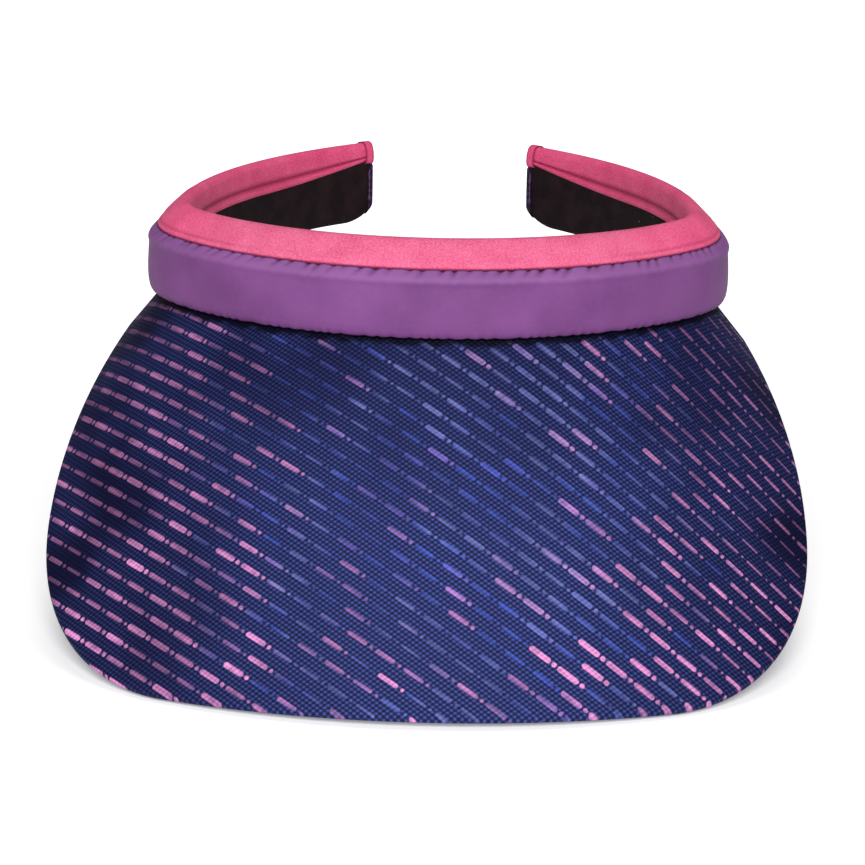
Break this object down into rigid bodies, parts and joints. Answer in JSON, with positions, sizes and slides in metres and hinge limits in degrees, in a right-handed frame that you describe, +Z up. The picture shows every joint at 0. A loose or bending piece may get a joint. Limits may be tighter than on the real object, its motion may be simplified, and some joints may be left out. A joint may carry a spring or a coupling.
{
  "type": "sun visor",
  "caption": "Clip-on sun visor: padded sprung band open at the back, with flexing arms and a long sloping fabric-covered brim that shades the face.",
  "frame": {"origin": "centre of the head opening, on the band's lower edge and on the line between the temples", "axes": "-Y to the front of the brim, +X to the right as seen from the front, +Z up; left and right in the names are as seen from the front"},
  "size_m": [0.21, 0.2457, 0.1119],
  "materials": {
    "board_plastic": "bare moulded board",
    "printed_cloth": "navy ribbed cloth with a printed pattern and a soft sheen",
    "under_cloth": "plain dark twill",
    "strip_plastic": "bare spring plastic",
    "foam": "open-cell foam",
    "purple_satin": "satin cover over padding",
    "pink_knit": "fine knit binding",
    "black_lining": "brushed lining",
    "pink_thread": "sewing thread",
    "purple_thread": "sewing thread"
  },
  "bodies": {
    "front": {"brim_board": "board_plastic", "brim_top_cover": "printed_cloth", "brim_under_cover": "under_cloth", "front_spring_strip": "strip_plastic", "front_foam_core": "foam", "front_cover": "purple_satin", "front_top_binding": "pink_knit", "front_sweatband": "black_lining", "front_binding_stitches": "pink_thread"},
    "left_arm": {"left_spring_strip": "strip_plastic", "left_foam_core": "foam", "left_cover": "purple_satin", "left_top_binding": "pink_knit", "left_sweatband": "black_lining", "left_binding_stitches": "pink_thread", "left_end_wrap": "purple_satin", "left_end_tab": "pink_knit", "left_end_stitches": "purple_thread"},
    "right_arm": {"right_spring_strip": "strip_plastic", "right_foam_core": "foam", "right_cover": "purple_satin", "right_top_binding": "pink_knit", "right_sweatband": "black_lining", "right_binding_stitches": "pink_thread", "right_end_wrap": "purple_satin", "right_end_tab": "pink_knit", "right_end_stitches": "purple_thread"}
  },
  "joints": [
    {"name": "left_arm_flex", "type": "hinge", "parent": "front", "child": "left_arm", "pos_m": [-0.08382, 0, 0.013], "axis": [0, 0, 1], "range_deg": [-6, 18], "stiffness_Nm_per_rad": 0.6},
    {"name": "right_arm_flex", "type": "hinge", "parent": "front", "child": "right_arm", "pos_m": [0.08382, 0, 0.013], "axis": [0, 0, -1], "range_deg": [-6, 18], "stiffness_Nm_per_rad": 0.6}
  ]
}
